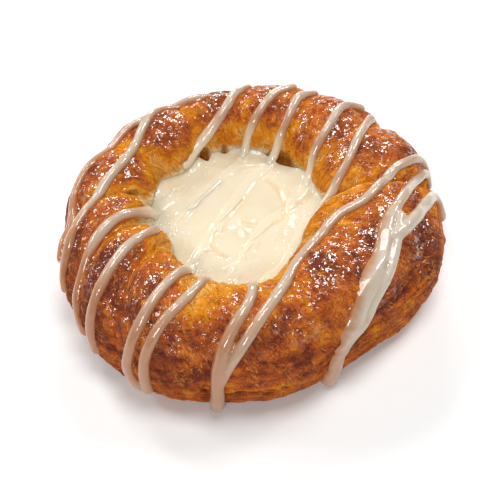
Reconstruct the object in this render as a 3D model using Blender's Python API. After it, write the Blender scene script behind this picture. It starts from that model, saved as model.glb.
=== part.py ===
"""Cheese danish: a round laminated pastry, cream cheese in its well, and thick icing drizzled over both.

Metres, +Z up. The pastry rests on its flat base, and the origin is under the middle of its outline.

A place on the danish is written as (theta, v). theta is the direction in degrees round the ring. v runs
along the ring's section: -2 middle of the well's floor, -1 foot of the well's wall, 0 rim where the filling
meets the pastry, 1 crest, 2 belly, 3 edge of the base, 4 middle of the base. The icing's routes use the
same pairs, except that between v = -1 and v = 0 they lie on top of the filling, middle to rim.
"""
import math

import bmesh
import bpy
import numpy as np
from mathutils import Vector
from mathutils.bvhtree import BVHTree

MM = 0.001

# Pastry ring
OUTER_RADIUS = 55.7 * MM
CREST_HEIGHT = 31.6 * MM
BELLY_HEIGHT = 13.0 * MM
RIM_HEIGHT = 20.0 * MM
FLOOR_HEIGHT = 7.0 * MM
CREST_SHARE = 0.45          # how far across from the well to the outside the crest lies
BASE_SHARE = 0.82           # how far across the flat base reaches
SHOULDER_POWER = 0.9        # below 1 the section is fuller than an ellipse

# Well, a little left of the middle and towards the back
WELL_RADIUS = 26.5 * MM
WELL_SHIFT = np.array((-4.5, 5.0)) * MM

# Outline swells: direction in degrees, width in degrees, size
OUTLINE_WAVES = ((2, 0.035, 25), (1, 0.03, 60))
OUTLINE_SWELLS = (
    (316, 15, -4.0 * MM),
    (292, 15, -3.4 * MM),
    (268, 12, -1.7 * MM),
    (346, 10, 1.0 * MM),
    (102, 14, -2.2 * MM),
    (232, 18, 1.5 * MM),
    (22, 20, 1.0 * MM),
)
WELL_SWELLS = (
    (336, 24, -4.6 * MM),
    (272, 24, 4.7 * MM),
    (185, 30, -1.8 * MM),
    (130, 14, -3.2 * MM),
    (215, 11, -3.7 * MM),
)

# Folds between the lobes of the twisted dough: direction at the crest in degrees, depth
FOLDS = (
    (10, 4.4 * MM),
    (38, 2.2 * MM),
    (64, 1.8 * MM),
    (90, 2.0 * MM),
    (117, 2.8 * MM),
    (150, 2.8 * MM),
    (178, 4.2 * MM),
    (200, 3.2 * MM),
    (222, 2.8 * MM),
    (250, 1.5 * MM),
    (292, 1.2 * MM),
    (330, 1.5 * MM),
)
FOLD_TWIST = 6.0            # degrees that a fold turns for each unit of v
FOLD_CREASE = 7.0           # degrees over which a fold's sharp part fades
RIM_WAVE = 0.30             # share of a fold's depth that shows as a notch in the well's rim

# Where the coil of dough ends: the last lobe overlaps the first at one fold,
# and its tail wraps round the outside below a seam
OVERLAP_ANGLE = 10
OVERLAP_RISE = 1.5 * MM
OVERLAP_REACH = 13.0        # degrees
SEAM_START = (15, 1.22)     # (theta, v)
SEAM_END = (-62, 1.95)
SEAM_DEPTH = 2.6 * MM
SEAM_WIDTH = 0.09           # in v
TAIL_DROP = 2.0 * MM

# Filling
GAP = 0.30 * MM
FILLING_SIDE = 0.10 * MM    # the filling's own side stands this much inside its share of the well
FILLING_DOME = 0.9 * MM
SWIRL_RIDGE = 1.3 * MM
SWIRL_RADIUS = 15.5 * MM
SWIRL_WIDTH = 2.6 * MM
CURL_PLACE = np.array((-3.0, -1.5)) * MM
CURL_HEIGHT = 1.6 * MM
CURL_WIDTH = 3.0 * MM
RIM_GAPS = ((109, 5.0, 3.0 * MM), (96, 4.5, 2.2 * MM), (57, 11.0, 2.6 * MM))   # direction, width, size

# Icing
STRAND_RADIUS = 1.6 * MM
STRAND_HEIGHT = 1.7 * MM    # how far a strand stands out of the crust
STRAND_STEP = 3.4 * MM
FILLING_STRAND_HEIGHT = 1.1 * MM
THICK_RISE = 0.55           # how much higher a strand stands where it is thicker

# Mesh density
AROUND = 84
PASTRY_SPANS = ((-2, -1, 2), (-1, 0, 1), (0, 1, 7), (1, 2, 10), (2, 3, 5), (3, 4, 2))
FILLING_SPANS = ((-1, 0, 9), (0, 1, 1), (1, 2, 2))

# Moves the modelled outline so that its middle is over the origin
CENTRING = Vector((-1.3 * MM, -1.5 * MM, 0.0))

# Routes of the icing: waypoints (theta, v), then thickness along the strand as (share of its length, factor)
THIN = ((0.0, 1.0), (1.0, 1.0))
ICING_ROUTES = {
    "far_left": (
        ((134, 1.20), (142, 1.30), (156, 1.38), (168, 1.46), (177, 1.58), (187, 1.68), (193, 1.78)),
        ((0.0, 0.75), (1.0, 1.0)),
    ),
    "left": (
        ((108, 1.18), (112, 1.22), (120, 1.40), (129, 1.28), (140, 1.07), (158, 0.87), (172, 1.03),
         (184, 1.25), (190, 1.40), (194, 1.57), (196, 1.78), (199, 1.98)),
        THIN,
    ),
    "back_left_foot": (
        ((90, 1.45), (94, 1.25), (96, 0.91), (100, 0.66), (106, 0.45), (112, 0.24), (119, 0.16), (128, 0.10)),
        ((0.0, 1.0), (0.8, 1.1), (1.0, 1.35)),
    ),
    "second": (
        ((160, -0.24), (174, -0.08), (184, 0.16), (191, 0.40), (194, 0.80), (198, 1.13), (202, 1.43),
         (204, 1.60), (206, 1.74), (210, 1.95), (213, 2.14)),
        ((0.0, 0.9), (1.0, 1.15)),
    ),
    "third": (
        ((69, 1.55), (74, 1.22), (77, 1.10), (78, 0.88), (80, 0.62), (82, 0.39), (84, 0.08), (88, -0.22),
         (112, -0.44), (157, -0.50), (193, -0.28), (202, -0.05), (210, 0.55), (212, 0.89), (213, 1.07),
         (216, 1.36), (217, 1.59), (218, 1.87), (220, 2.16)),
        ((0.0, 1.0), (0.4, 0.9), (1.0, 1.15)),
    ),
    "fourth": (
        ((62, 1.65), (66, 1.35), (68, 1.13), (66, 0.90), (64, 0.60), (63, 0.30), (63, 0.05), (68, -0.30),
         (90, -0.80), (225, -0.70), (237, -0.28), (241, 0.10), (242, 0.55), (240, 0.84), (238, 1.06),
         (236, 1.36), (234, 1.74), (233, 2.08), (236, 2.45)),
        ((0.0, 1.0), (0.4, 0.9), (1.0, 1.25)),
    ),
    "fifth": (
        ((42, 1.80), (46, 1.52), (51, 1.40), (51, 1.22), (48, 1.02), (44, 0.79), (41, 0.55), (38, 0.34),
         (34, 0.12), (29, -0.08), (12, -0.36), (320, -0.58), (272, -0.30), (257, 0.03), (253, 0.60),
         (252, 0.76), (249, 0.94), (246, 1.16), (243, 1.31), (241, 1.49), (239, 1.75), (239, 2.08),
         (239, 2.36)),
        ((0.0, 1.0), (0.4, 0.9), (1.0, 1.2)),
    ),
    "sixth": (
        ((38, 1.75), (44, 1.50), (42, 1.34), (35, 1.05), (28, 0.86), (20, 0.67), (13, 0.38), (7, 0.22),
         (359, -0.03), (344, -0.07), (326, -0.05), (306, -0.07), (291, -0.10), (280, 0.15), (276, 0.75),
         (273, 1.00), (267, 1.25), (263, 1.46), (261, 1.66), (260, 1.90), (260, 2.24), (260, 2.60)),
        ((0.0, 1.0), (0.4, 0.9), (0.8, 1.2), (1.0, 1.5)),
    ),
    "seventh": (
        ((21, 1.86), (24, 1.66), (20, 1.39), (15, 1.15), (4, 0.98), (353, 0.86), (346, 0.70), (336, 0.62),
         (326, 0.58), (314, 0.60), (303, 0.60), (293, 0.74), (286, 0.93), (278, 1.14), (271, 1.38),
         (266, 1.60), (262, 1.84)),
        ((0.0, 1.0), (0.9, 1.15), (1.0, 1.2)),
    ),
    "wide": (
        ((19, 1.88), (20, 1.68), (14, 1.45), (6, 1.27), (0, 1.21), (353, 1.18), (345, 1.19), (336, 1.27),
         (330, 1.35), (323.5, 1.44), (318, 1.52), (313.5, 1.60), (308, 1.69), (305, 1.80), (302, 1.97),
         (298, 2.62)),
        ((0.0, 1.0), (0.34, 1.1), (0.44, 2.1), (0.7, 2.0), (0.88, 1.5), (1.0, 1.55)),
    ),
    "wide_branch": (
        ((6, 1.87), (9, 1.80), (10.5, 1.68), (5, 1.53), (357, 1.39), (350, 1.31), (341, 1.24)),
        ((0.0, 1.2), (1.0, 1.5)),
    ),
}


def folded(angle):
    """Degrees folded into -180 to 180."""
    return (angle + 180) % 360 - 180


def swells(theta, table):
    """Sum of the smooth swells of a table at the directions theta."""
    return sum(size * np.exp(-(folded(theta - place) / width) ** 2) for place, width, size in table)


def smooth_step(x):
    """0 below 0, 1 above 1, and a smooth rise between."""
    x = np.clip(x, 0, 1)
    return x * x * (3 - 2 * x)


def direction(theta):
    """Unit vectors in plan for directions in degrees."""
    turn = np.radians(theta)
    return np.stack([np.cos(turn), np.sin(turn)], -1)


def fold_drop(theta):
    """Depth of the folds below the lobes' tops at each direction, without any twist."""
    places = np.array([place for place, depth in FOLDS], float)
    depths = np.array([depth for place, depth in FOLDS])
    places = np.concatenate([places, places[:1] + 360])
    depths = np.concatenate([depths, depths[:1]])
    turn = (theta - places[0]) % 360 + places[0]
    left = np.clip(np.searchsorted(places, turn, side="right") - 1, 0, len(places) - 2)
    span = places[left + 1] - places[left]
    share = (turn - places[left]) / span
    depth = depths[left] * (1 - share) + depths[left + 1] * share
    from_fold = np.minimum(share, 1 - share) * span
    pillow = np.abs(2 * share - 1) ** 3
    crease = np.exp(-from_fold / FOLD_CREASE)
    return depth * (0.5 * pillow + 0.5 * crease)


def outer_radius(theta):
    """Radius of the belly round the origin."""
    waves = sum(size * np.cos(count * np.radians(theta - place)) for count, size, place in OUTLINE_WAVES)
    return OUTER_RADIUS * (1 + waves) + swells(theta, OUTLINE_SWELLS)


def well_radius(theta):
    """Radius of the well round its own middle, with a notch at each fold."""
    return WELL_RADIUS + swells(theta, WELL_SWELLS) + RIM_WAVE * (fold_drop(theta) - 1.2 * MM)


def plain_ring(theta, v):
    """Points of the ring before its folds, and their distance across the section."""
    inner = WELL_SHIFT + well_radius(theta)[..., None] * direction(theta)
    outer = outer_radius(theta)[..., None] * direction(theta)
    rise = np.clip(v, 0, 1) * math.pi / 2
    fall = np.clip(v - 1, 0, 1) * math.pi / 2
    under = np.clip(v - 2, 0, 1) * math.pi / 2
    inside = CREST_SHARE * (1 - np.cos(rise))
    outside = CREST_SHARE + (1 - CREST_SHARE) * np.sin(fall)
    below = 1 - (1 - BASE_SHARE) * (1 - np.cos(under))
    share = np.where(v < 1, inside, np.where(v < 2, outside, below))
    height_in = RIM_HEIGHT + (CREST_HEIGHT - RIM_HEIGHT) * np.sin(rise) ** SHOULDER_POWER
    height_out = BELLY_HEIGHT + (CREST_HEIGHT - BELLY_HEIGHT) * np.abs(np.cos(fall)) ** SHOULDER_POWER
    height_under = BELLY_HEIGHT * (1 - np.sin(under))
    height = np.where(v < 1, height_in, np.where(v < 2, height_out, height_under))
    wall = FLOOR_HEIGHT + (RIM_HEIGHT - FLOOR_HEIGHT) * np.clip(v + 1, 0, 1)
    height = np.where(v < 0, wall, height)
    plan = inner + (outer - inner) * share[..., None]
    floor = WELL_SHIFT + (inner - WELL_SHIFT) * np.clip(v + 2, 0, 1)[..., None]
    plan = np.where((v < -1)[..., None], floor, plan)
    plan = plan * np.clip(4 - v, 0, 1)[..., None]
    return np.concatenate([plan, height[..., None]], -1)


def relief(theta, v):
    """How far the crust stands out of the plain ring: folds, the coil's overlap, its seam and its tail."""
    turned = theta - FOLD_TWIST * (v - 1)
    reach = smooth_step((v - 0.02) / 0.4) * (1 - smooth_step((v - 2.1) / 0.8))
    folds = -fold_drop(turned) + 0.7 * MM
    from_overlap = folded(turned - OVERLAP_ANGLE)
    overlap = -OVERLAP_RISE * np.tanh(from_overlap / 2) * np.exp(-np.abs(from_overlap) / OVERLAP_REACH)
    along = (SEAM_START[0] - folded(theta)) / (SEAM_START[0] - SEAM_END[0])
    seam_v = SEAM_START[1] + (SEAM_END[1] - SEAM_START[1]) * np.clip(along, 0, 1)
    seam_window = smooth_step(along / 0.12) * (1 - smooth_step((along - 0.9) / 0.2))
    past_seam = v - seam_v
    crease = -SEAM_DEPTH * np.exp(-np.abs(past_seam) / SEAM_WIDTH)
    tail = -TAIL_DROP * smooth_step(past_seam / 0.1)
    return reach * (folds + overlap + seam_window * (crease + tail))


def pastry_surface(theta, v):
    """Points of the crust: the plain ring moved along its section's normal by the relief."""
    step = 0.01
    here = plain_ring(theta, v)
    ahead = plain_ring(theta, v + step)
    behind = plain_ring(theta, v - step)
    run = ahead - behind
    out = direction(theta)
    across = (run[..., :2] * out).sum(-1)
    up = run[..., 2]
    length = np.maximum(np.hypot(across, up), 1e-9)
    size = np.where((v > 0) & (v < 3), relief(theta, v) / length, 0)
    moved = here.copy()
    moved[..., :2] -= (size * up)[..., None] * out
    moved[..., 2] += size * across
    moved[..., 2] = np.maximum(moved[..., 2], 0)
    return moved


def filling_height(plan):
    """Height of the filling's top at points in plan, with its dome, swirled ridge and curl."""
    place = plan - WELL_SHIFT
    far = np.hypot(place[..., 0], place[..., 1])
    turn = np.degrees(np.arctan2(place[..., 1], place[..., 0]))
    dome = FILLING_DOME * (1 - (far / WELL_RADIUS) ** 2)
    ridge_radius = SWIRL_RADIUS + 3.0 * MM * folded(turn) / 90
    window = np.exp(-(folded(turn + 5) / 55) ** 2)
    ridge = SWIRL_RIDGE * window * np.exp(-((far - ridge_radius) / SWIRL_WIDTH) ** 2)
    from_curl = np.hypot(*np.moveaxis(plan - CURL_PLACE, -1, 0))
    curl = CURL_HEIGHT * np.exp(-(from_curl / CURL_WIDTH) ** 2)
    edge = smooth_step((well_radius(turn) - far) / (4 * MM))
    return RIM_HEIGHT - 0.9 * MM + dome * edge + (ridge + curl) * edge


def filling_surface(theta, v):
    """Points of the filling: v from -1 to 0 over its top, to 1 down its side, to 2 in to the middle."""
    edge = well_radius(theta) - GAP - FILLING_SIDE * 1.5 - 0.05 * MM
    notch = swells(theta, RIM_GAPS) * smooth_step((v + 0.35) / 0.35)
    share = np.where(v < 0, v + 1, np.where(v > 1, 2 - v, 1))
    far = edge * share - np.where(v <= 1, notch, 0)
    plan = WELL_SHIFT + far[..., None] * direction(theta)
    foot = FLOOR_HEIGHT + GAP
    height = np.where(v > 0.5, foot, filling_height(plan))
    return np.concatenate([plan, height[..., None]], -1)


def stations(spans):
    """Values of v for the rings of a blank, from its spans."""
    values = [float(spans[0][0])]
    for start, end, count in spans:
        values += [start + (end - start) * (i + 1) / count for i in range(count)]
    return np.array(values)


def moulded_blank(name, surface, spans, material):
    """A UV sphere whose rings are moved onto a surface given by (theta, v)."""
    values = stations(spans)
    rings = len(values) - 1
    blank = bmesh.new()
    bmesh.ops.create_uvsphere(blank, u_segments=AROUND, v_segments=rings, radius=1.0)
    places = np.array([vert.co for vert in blank.verts])
    theta = np.degrees(np.arctan2(places[:, 1], places[:, 0])) % 360
    row = np.rint(np.arccos(np.clip(places[:, 2], -1, 1)) / math.pi * rings).astype(int)
    for vert, place in zip(blank.verts, surface(theta, values[row])):
        vert.co = Vector(place)
    bmesh.ops.triangulate(blank, faces=blank.faces)
    mesh = bpy.data.meshes.new(name)
    blank.to_mesh(mesh)
    blank.free()
    mesh.materials.append(material)
    mesh.shade_smooth()
    return bpy.data.objects.new(name, mesh)


def tree_of(objects):
    """One search tree over the meshes of some objects."""
    verts, faces = [], []
    for obj in objects:
        start = len(verts)
        verts += [vert.co for vert in obj.data.vertices]
        faces += [[start + index for index in face.vertices] for face in obj.data.polygons]
    return BVHTree.FromPolygons(verts, faces)


def route_point(theta, v):
    """The point of the bare danish at one waypoint of the icing."""
    theta = np.array([float(theta)])
    v = np.array([float(v)])
    surface = filling_surface if v[0] < 0 else pastry_surface
    return Vector(surface(theta, v)[0])


def curved_path(points, step):
    """Evenly spaced points on a smooth curve through the given points."""
    ends = [points[0] * 2 - points[1]] + points + [points[-1] * 2 - points[-2]]
    fine = []
    for i in range(1, len(ends) - 2):
        a, b, c, d = ends[i - 1], ends[i], ends[i + 1], ends[i + 2]
        for k in range(20):
            t = k / 20
            fine.append(0.5 * (2 * b + (c - a) * t + (2 * a - 5 * b + 4 * c - d) * t ** 2
                               + (3 * b - a - 3 * c + d) * t ** 3))
    fine.append(points[-1])
    lengths = np.cumsum([0.0] + [(q - p).length for p, q in zip(fine, fine[1:])])
    count = max(2, round(lengths[-1] / step))
    marks = np.linspace(0, lengths[-1], count + 1)
    columns = [np.interp(marks, lengths, [point[axis] for point in fine]) for axis in range(3)]
    return [Vector(place) for place in zip(*columns)]


def strand_path(waypoints, thickness, tree):
    """Points along a strand's middle, a little sunk in what it lies on, and its radius at each."""
    path = curved_path([route_point(*waypoint) for waypoint in waypoints], STRAND_STEP)
    shares = np.linspace(0, 1, len(path))
    factors = np.interp(shares, *zip(*thickness))
    laid = []
    for point, factor in zip(path, factors):
        place, normal, index, distance = tree.find_nearest(point)
        far = (Vector(place[:2]) - Vector(WELL_SHIFT)).length
        on_filling = far < WELL_RADIUS * 0.92 and place.z < RIM_HEIGHT + 3 * MM
        height = FILLING_STRAND_HEIGHT if on_filling else STRAND_HEIGHT
        height *= 1 + THICK_RISE * (factor - 1)
        laid.append(place + normal * (height - STRAND_RADIUS * factor))
    for turn in range(2):
        inner = [(a + 2 * b + c) / 4 for a, b, c in zip(laid, laid[1:], laid[2:])]
        laid = [laid[0]] + inner + [laid[-1]]
    radii = [STRAND_RADIUS * factor for factor in factors]
    for place, radius in zip(laid, radii):
        place.z = max(place.z, radius)
    return laid, radii


def strand_curve(name, path, radii):
    """A tube along a path, with filled caps and ends that narrow."""
    curve = bpy.data.curves.new(name, "CURVE")
    curve.dimensions = "3D"
    curve.bevel_depth = 1.0
    curve.bevel_resolution = 1
    curve.use_fill_caps = True
    tip = 0.55
    start = path[0] + (path[0] - path[1]).normalized() * radii[0] * tip
    end = path[-1] + (path[-1] - path[-2]).normalized() * radii[-1] * tip
    points = [start] + path + [end]
    radii = [radii[0] * tip] + radii + [radii[-1] * tip]
    spline = curve.splines.new("POLY")
    spline.points.add(len(points) - 1)
    for knot, place, radius in zip(spline.points, points, radii):
        knot.co = (*place, 1.0)
        knot.radius = radius
    return bpy.data.objects.new(name, curve)


def strand_mesh(name, path, radii, material, collection):
    """The tube as a closed mesh object."""
    tube = strand_curve(name + "_line", path, radii)
    collection.objects.link(tube)
    bpy.context.view_layer.update()
    evaluated = tube.evaluated_get(bpy.context.evaluated_depsgraph_get())
    mesh = bpy.data.meshes.new_from_object(evaluated)
    matrix = tube.matrix_world.copy()
    bpy.data.objects.remove(tube)
    form = bmesh.new()
    form.from_mesh(mesh)
    bmesh.ops.remove_doubles(form, verts=form.verts, dist=0.01 * MM)
    bmesh.ops.recalc_face_normals(form, faces=form.faces)
    form.to_mesh(mesh)
    form.free()
    mesh.materials.clear()
    mesh.materials.append(material)
    obj = bpy.data.objects.new(name, mesh)
    obj.matrix_world = matrix
    collection.objects.link(obj)
    return obj


def well_plug(name, clearance, collection):
    """A cutter that fills the well's plan, less a clearance, from its floor upwards."""
    form = bmesh.new()
    disc = bmesh.ops.create_circle(form, cap_ends=True, segments=AROUND, radius=1.0)
    for vert in disc["verts"]:
        theta = np.array([math.degrees(math.atan2(vert.co.y, vert.co.x)) % 360])
        radius = well_radius(theta) - clearance
        plan = WELL_SHIFT + radius[..., None] * direction(theta)
        vert.co = Vector((*plan[0], FLOOR_HEIGHT + 0.5 * GAP))
    walls = bmesh.ops.extrude_face_region(form, geom=form.faces[:])
    raised = [item for item in walls["geom"] if isinstance(item, bmesh.types.BMVert)]
    bmesh.ops.translate(form, verts=raised, vec=(0, 0, 2 * CREST_HEIGHT))
    bmesh.ops.recalc_face_normals(form, faces=form.faces)
    mesh = bpy.data.meshes.new(name)
    form.to_mesh(mesh)
    form.free()
    plug = bpy.data.objects.new(name, mesh)
    plug.hide_render = True
    plug.display_type = "WIRE"
    collection.objects.link(plug)
    return plug


def apply_modifiers(obj):
    """Keeps what the modifiers give as the object's own mesh."""
    bpy.context.view_layer.update()
    evaluated = obj.evaluated_get(bpy.context.evaluated_depsgraph_get())
    mesh = bpy.data.meshes.new_from_object(evaluated)
    obj.modifiers.clear()
    obj.data = mesh


def fuse(obj, strands):
    """Joins a collection of strands to an object by one union, and removes them."""
    union = obj.modifiers.new("Drizzle", "BOOLEAN")
    union.operation = "UNION"
    union.operand_type = "COLLECTION"
    union.collection = strands
    union.solver = "EXACT"
    union.material_mode = "TRANSFER"
    apply_modifiers(obj)
    for strand in list(strands.objects):
        bpy.data.objects.remove(strand)


def trim(obj, cutter, operation):
    """Cuts an object by one cutter, and removes the cutter."""
    cut = obj.modifiers.new("Trim", "BOOLEAN")
    cut.operation = operation
    cut.object = cutter
    cut.solver = "EXACT"
    cut.material_mode = "TRANSFER"
    apply_modifiers(obj)
    bpy.data.objects.remove(cutter)


def keep_main_body(obj):
    """Drops loose scraps: everything that isn't joined to the largest connected piece."""
    form = bmesh.new()
    form.from_mesh(obj.data)
    bmesh.ops.triangulate(form, faces=form.faces)
    unseen = set(form.verts)
    pieces = []
    while unseen:
        piece = {unseen.pop()}
        edge_of_piece = list(piece)
        while edge_of_piece:
            vert = edge_of_piece.pop()
            near = {edge.other_vert(vert) for edge in vert.link_edges} & unseen
            unseen -= near
            piece |= near
            edge_of_piece += near
        pieces.append(piece)
    main = max(pieces, key=len)
    scraps = [vert for vert in form.verts if vert not in main]
    bmesh.ops.delete(form, geom=scraps, context="VERTS")
    form.to_mesh(obj.data)
    form.free()
    obj.data.shade_smooth()
    obj.data.set_sharp_from_angle(angle=math.radians(50))


def simple_material(name, color, roughness):
    """A Principled material with one colour."""
    material = bpy.data.materials.new(name)
    material.use_nodes = True
    shader = material.node_tree.nodes["Principled BSDF"]
    shader.inputs["Base Color"].default_value = (*color, 1.0)
    shader.inputs["Roughness"].default_value = roughness
    shader.inputs["Metallic"].default_value = 0.0
    material.diffuse_color = (*color, 1.0)
    return material


def new_collection(name, parent):
    collection = bpy.data.collections.new(name)
    parent.children.link(collection)
    return collection


def build_danish():
    for obj in list(bpy.data.objects):
        bpy.data.objects.remove(obj)
    scene = bpy.context.scene.collection
    danish = new_collection("cheese_danish", scene)
    cutters = new_collection("cutters", scene)
    crust = simple_material("baked_crust", (0.40, 0.15, 0.04), 0.35)
    cream = simple_material("cream_cheese", (0.90, 0.80, 0.55), 0.30)
    sugar = simple_material("icing", (0.78, 0.66, 0.55), 0.25)

    pastry = moulded_blank("danish_pastry", pastry_surface, PASTRY_SPANS, crust)
    filling = moulded_blank("cheese_filling", filling_surface, FILLING_SPANS, cream)
    danish.objects.link(pastry)
    danish.objects.link(filling)

    tree = tree_of([pastry, filling])
    for obj, clearance, operation in ((pastry, 0.05 * MM, "DIFFERENCE"),
                                      (filling, 0.05 * MM + GAP, "INTERSECT")):
        strands = new_collection("drizzle", scene)
        for name, (waypoints, thickness) in ICING_ROUTES.items():
            path, radii = strand_path(waypoints, thickness, tree)
            strand_mesh("strand_" + name, path, radii, sugar, strands)
        fuse(obj, strands)
        bpy.data.collections.remove(strands)
        trim(obj, well_plug("plug_" + obj.name, clearance, cutters), operation)
        keep_main_body(obj)
        obj.data.transform(obj.matrix_world)
        for vert in obj.data.vertices:
            vert.co += CENTRING
    bpy.data.collections.remove(cutters)


if __name__ == "__main__":
    build_danish()
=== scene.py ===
"""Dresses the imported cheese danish: flaky glazed crust, swirled cream cheese and drizzled icing.

A place on the danish is written as (theta, v). theta is the direction in degrees round the ring. v runs
along the ring's section: -2 middle of the well's floor, -1 foot of the well's wall, 0 rim where the filling
meets the pastry, 1 crest, 2 belly, 3 edge of the base, 4 middle of the base. The icing's routes use the
same pairs, except that between v = -1 and v = 0 they lie on top of the filling, middle to rim.
"""
import math

import bmesh
import bpy
import numpy as np
from bpy.props import FloatProperty, FloatVectorProperty, PointerProperty
from bpy.types import Operator, Panel, PropertyGroup
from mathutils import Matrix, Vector, kdtree, noise
from mathutils.bvhtree import BVHTree


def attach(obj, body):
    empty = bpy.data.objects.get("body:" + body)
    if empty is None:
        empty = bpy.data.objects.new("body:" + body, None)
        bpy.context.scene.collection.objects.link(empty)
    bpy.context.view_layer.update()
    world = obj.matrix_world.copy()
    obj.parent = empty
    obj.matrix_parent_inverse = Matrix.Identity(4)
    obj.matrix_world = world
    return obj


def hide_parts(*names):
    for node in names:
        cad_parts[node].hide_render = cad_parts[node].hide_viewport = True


bl_info = {
    "name": "Cheese danish",
    "version": (1, 0, 0),
    "blender": (4, 5, 0),
    "location": "3D View > Sidebar > Danish",
    "description": "Models and finishes a cheese danish with a flaky crust, filling and icing",
    "category": "Add Mesh",
}

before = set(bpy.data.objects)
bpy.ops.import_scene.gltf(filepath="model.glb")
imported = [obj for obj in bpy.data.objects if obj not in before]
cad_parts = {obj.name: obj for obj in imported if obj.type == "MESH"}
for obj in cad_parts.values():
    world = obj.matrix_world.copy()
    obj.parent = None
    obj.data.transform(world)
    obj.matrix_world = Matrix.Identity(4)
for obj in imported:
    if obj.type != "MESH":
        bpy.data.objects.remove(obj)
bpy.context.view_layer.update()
MM = 0.001

# Pastry ring, as in the solids
OUTER_RADIUS = 55.7 * MM
CREST_HEIGHT = 31.6 * MM
BELLY_HEIGHT = 13.0 * MM
RIM_HEIGHT = 20.0 * MM
FLOOR_HEIGHT = 7.0 * MM
CREST_SHARE = 0.45
BASE_SHARE = 0.82
SHOULDER_POWER = 0.9
WELL_RADIUS = 26.5 * MM
WELL_SHIFT = np.array((-4.5, 5.0)) * MM
CENTRING = np.array((-1.3, -1.5, 0.0)) * MM
OUTLINE_WAVES = ((2, 0.035, 25), (1, 0.03, 60))
OUTLINE_SWELLS = (
    (316, 15, -4.0 * MM),
    (292, 15, -3.4 * MM),
    (268, 12, -1.7 * MM),
    (346, 10, 1.0 * MM),
    (102, 14, -2.2 * MM),
    (232, 18, 1.5 * MM),
    (22, 20, 1.0 * MM),
)
WELL_SWELLS = (
    (336, 24, -4.6 * MM),
    (272, 24, 4.7 * MM),
    (185, 30, -1.8 * MM),
    (130, 14, -3.2 * MM),
    (215, 11, -3.7 * MM),
)
FOLDS = (
    (10, 4.4 * MM),
    (38, 2.2 * MM),
    (64, 1.8 * MM),
    (90, 2.0 * MM),
    (117, 2.8 * MM),
    (150, 2.8 * MM),
    (178, 4.2 * MM),
    (200, 3.2 * MM),
    (222, 2.8 * MM),
    (250, 1.5 * MM),
    (292, 1.2 * MM),
    (330, 1.5 * MM),
)
FOLD_TWIST = 6.0
FOLD_CREASE = 7.0
GRAIN_TWIST = 2.5 * FOLD_TWIST   # of the crust's grain, which the solids haven't
RIM_WAVE = 0.30
OVERLAP_ANGLE = 10
OVERLAP_RISE = 1.5 * MM
OVERLAP_REACH = 13.0
SEAM_START = (15, 1.22)
SEAM_END = (-62, 1.95)
SEAM_DEPTH = 2.6 * MM
SEAM_WIDTH = 0.09
TAIL_DROP = 2.0 * MM

# Filling: the solid's dome and swirl, the swirl a little lower and the gaps at the rim smaller
FILLING_DOME = 0.9 * MM
RIM_CLIMB = 1.3 * MM        # how far the cream climbs up the wall at the rim
CLIMB_WIDTH = 2.0 * MM
SWIRL_RIDGE = 0.9 * MM
SWIRL_RADIUS = 15.5 * MM
SWIRL_WIDTH = 2.6 * MM
CURL_PLACE = np.array((-3.0, -1.5)) * MM
CURL_HEIGHT = 1.2 * MM
CURL_WIDTH = 3.0 * MM
RIM_GAPS = ((112, 3.4, 2.6 * MM), (98, 3.0, 1.2 * MM), (58, 10.0, 2.0 * MM))
GAP_HEIGHT = 0.12           # how far up the wall, in v, the gaps at the rim reach
GAP_DEPTH = 2.0 * MM

# Holes between the layers at the front: (theta, v, half width in degrees, half height in v)
EDGE_HOLES = ((270.5, 2.14, 1.9, 0.045), (266.4, 2.17, 2.1, 0.055), (263.0, 2.21, 0.9, 0.035),
              (275.5, 2.20, 1.2, 0.028), (256.5, 2.14, 1.0, 0.028), (281, 2.12, 1.1, 0.022))
# Cream smeared over the rim: (theta, width in degrees, reach in v)
CREAM_SMEARS = ((190, 22, 0.38), (125, 12, 0.20), (2, 10, 0.30), (268, 13, 0.22), (80, 30, 0.04),
                (217, 8, 0.12))

# Strip of cream down the inner side at the front: (theta from, theta to, v from, v to, share)
CREAM_STRIP = (249, 271, 0.08, 0.40, 0.50)
# Darker and paler patches of the crust: (theta, width in degrees, v from, v to, fade in v, shade). The darker
# patches on the lower left, on the front belly and beside the coil's seam are painted shade.
BAKE_AND_SHADE_PATCHES = (
    # painted shade on the lower left side
    (212, 28, 1.15, 2.40, 0.30, 0.32),
    # painted shade on the front belly
    (258, 26, 1.35, 1.90, 0.20, 0.10),
    (258, 20, 0.20, 1.15, 0.30, -0.40),
    (80, 40, 0.10, 0.70, 0.20, 0.14),
    (2, 8, 1.55, 2.10, 0.15, -0.22),
    # painted shade in the valley beside the coil's seam
    (342, 12, 1.45, 1.90, 0.15, 0.20),
    (325, 10, 1.85, 2.30, 0.15, -0.15),
)
EDGE_HOLE_DEPTH = 1.6 * MM
LIP_HEIGHT = 0.25 * MM
LIP_PALING = 0.04
# How strongly the fine relief tints the crust, for each mm, and the most that it may: paler on the raised
# edges, and painted shade in the recesses
RELIEF_CONTRAST = 0.60
RELIEF_LIMIT = 0.20

# Sizes of the crust's relief
LUMP_CELL = 8 * MM
WARP_CELL = 11 * MM
WARP = 2.2 * MM              # how far the layers and wrinkles wander
LAYER_CELL = 1.9 * MM
WRINKLE_CELL = 1.7 * MM
BLISTER_CELL = 2.3 * MM
CRUMB_CELL = 1.3 * MM
CRUMB_HEIGHT = 0.10 * MM
RIPPLE_CELL = 3.0 * MM
RIPPLE_HEIGHT = 0.24 * MM

# Sizes of the filling's relief
LINE_WIDTH = 0.38 * MM
CREASE_WIDTH = 0.9 * MM
SOFT_CELL = 7 * MM
SOFT_HEIGHT = 0.30 * MM
# The small bubbles carry painted glints
FROTH_REACH = 12 * MM        # how far in from the rim the small bubbles reach

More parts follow.
